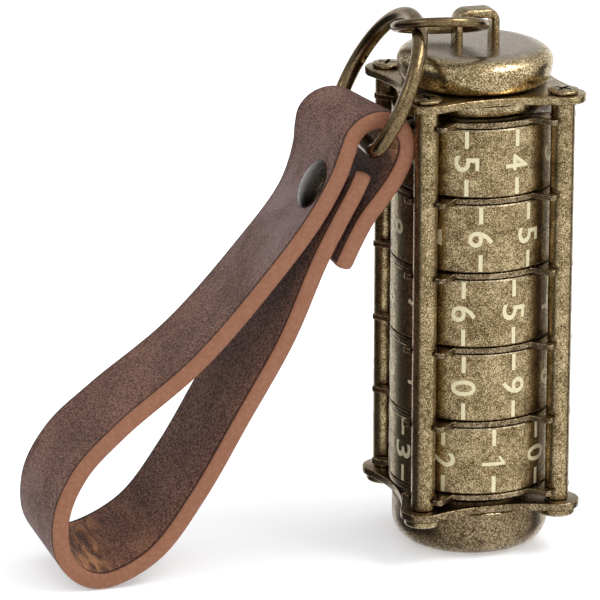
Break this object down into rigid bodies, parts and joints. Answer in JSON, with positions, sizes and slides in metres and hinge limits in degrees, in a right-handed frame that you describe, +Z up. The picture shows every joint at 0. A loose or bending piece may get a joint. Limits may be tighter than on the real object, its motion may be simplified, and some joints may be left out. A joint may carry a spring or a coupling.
{
  "type": "cryptex",
  "caption": "Pocket cryptex with numbered dials in a four-post cage, a pull-out memory stick under a round knob, and a riveted leather wrist strap on a ring chain.",
  "frame": {"origin": "centre of the foot's flat underside", "axes": "+Z up along the dials' axis; X and Y run along the plates' sides, and the strap hangs towards -X"},
  "size_m": [0.0788, 0.0274, 0.0817],
  "materials": {
    "antique_brass": "aged, satin",
    "knob_brass": "polished, aged",
    "dark_brass": "dark patina",
    "ring_brass": "satin wire",
    "strap_leather": "smooth, worn",
    "rivet_bronze": "dark bronze",
    "steel": "brushed",
    "black_plastic": "moulded",
    "board": "solder mask"
  },
  "bodies": {
    "cage": {"top_plate": "antique_brass", "bottom_plate": "antique_brass", "post_1": "antique_brass", "post_2": "antique_brass", "post_3": "antique_brass", "post_4": "antique_brass", "top_screw_1": "antique_brass", "top_screw_2": "antique_brass", "top_screw_3": "antique_brass", "top_screw_4": "antique_brass", "bottom_screw_1": "antique_brass", "bottom_screw_2": "antique_brass", "bottom_screw_3": "antique_brass", "bottom_screw_4": "antique_brass", "separator_1": "dark_brass", "separator_2": "dark_brass", "separator_3": "dark_brass", "separator_4": "dark_brass", "separator_5": "dark_brass", "separator_6": "dark_brass", "top_collar": "dark_brass", "bottom_collar": "dark_brass", "inner_sleeve": "antique_brass", "bottom_cap": "antique_brass"},
    "dial_1": {"dial_ring_1": "antique_brass", "code_ring_1": "antique_brass"},
    "dial_2": {"dial_ring_2": "antique_brass", "code_ring_2": "antique_brass"},
    "dial_3": {"dial_ring_3": "antique_brass", "code_ring_3": "antique_brass"},
    "dial_4": {"dial_ring_4": "antique_brass", "code_ring_4": "antique_brass"},
    "dial_5": {"dial_ring_5": "antique_brass", "code_ring_5": "antique_brass"},
    "core": {"core_cap": "knob_brass", "bail": "knob_brass", "carrier_tube": "antique_brass", "lock_pin_1": "steel", "lock_pin_2": "steel", "lock_pin_3": "steel", "lock_pin_4": "steel", "lock_pin_5": "steel", "plug_mount": "black_plastic", "plug_shell": "steel", "plug_tongue": "black_plastic", "circuit_board": "board", "memory_chip": "black_plastic", "controller_chip": "black_plastic"},
    "first_link": {"jump_ring": "ring_brass"},
    "second_link": {"key_ring": "ring_brass"},
    "strap": {"wrist_strap": "strap_leather", "rivet_cap": "rivet_bronze", "rivet_washer": "rivet_bronze"}
  },
  "joints": [
    {"name": "dial_1_spin", "type": "hinge", "parent": "cage", "child": "dial_1", "pos_m": [0, 0, 0.01533], "axis": [0, 0, 1], "continuous": true},
    {"name": "dial_2_spin", "type": "hinge", "parent": "cage", "child": "dial_2", "pos_m": [0, 0, 0.02662], "axis": [0, 0, 1], "continuous": true},
    {"name": "dial_3_spin", "type": "hinge", "parent": "cage", "child": "dial_3", "pos_m": [0, 0, 0.03793], "axis": [0, 0, 1], "continuous": true},
    {"name": "dial_4_spin", "type": "hinge", "parent": "cage", "child": "dial_4", "pos_m": [0, 0, 0.04922], "axis": [0, 0, 1], "continuous": true},
    {"name": "dial_5_spin", "type": "hinge", "parent": "cage", "child": "dial_5", "pos_m": [0, 0, 0.06053], "axis": [0, 0, 1], "continuous": true},
    {"name": "core_slide", "type": "slide", "parent": "cage", "child": "core", "axis": [0, 0, 1], "range_m": [0, 0.06]},
    {"name": "jump_ring_swing", "type": "hinge", "parent": "core", "child": "first_link", "pos_m": [0, 0.00035, 0.07757], "axis": [0, 1, 0], "range_deg": [0, 90]},
    {"name": "key_ring_swing", "type": "hinge", "parent": "first_link", "child": "second_link", "pos_m": [-0.0106, 0.00241, 0.07754], "axis": [0.6898, 0.6527, -0.3133], "range_deg": [0, 75]},
    {"name": "strap_swing", "type": "hinge", "parent": "second_link", "child": "strap", "pos_m": [-0.0208, -0.001, 0.0598], "axis": [-0.0995, 0.995, 0], "range_deg": [-4, 17]}
  ]
}
